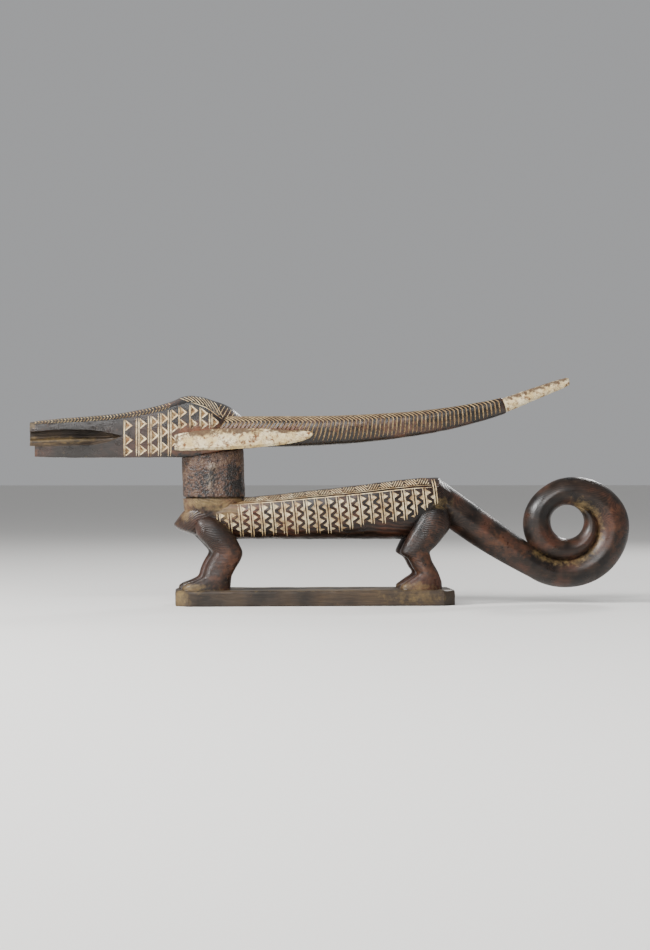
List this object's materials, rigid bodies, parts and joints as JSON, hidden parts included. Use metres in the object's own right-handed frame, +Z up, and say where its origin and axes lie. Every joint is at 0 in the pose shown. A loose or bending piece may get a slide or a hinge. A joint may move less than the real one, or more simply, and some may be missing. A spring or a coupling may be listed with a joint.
{
  "type": "chiwara headdress",
  "caption": "Carved wooden horizontal antelope headdress: crouching body with spiral tail on a slab base, long head with swept-back horns and ears",
  "frame": {"origin": "middle of the base's flat underside", "axes": "+Z up, X along the animal's length with the head towards -X and the tail towards +X, Y across"},
  "size_m": [0.69, 0.088, 0.2611],
  "materials": {
    "patinated_wood": "oiled dark patina, semi-gloss, pale inlay in the cut pattern",
    "hide": "rough, mottled rust brown to black"
  },
  "bodies": {
    "root": {"body": "patinated_wood", "head": "patinated_wood", "neck_collar": "hide"}
  },
  "joints": []
}
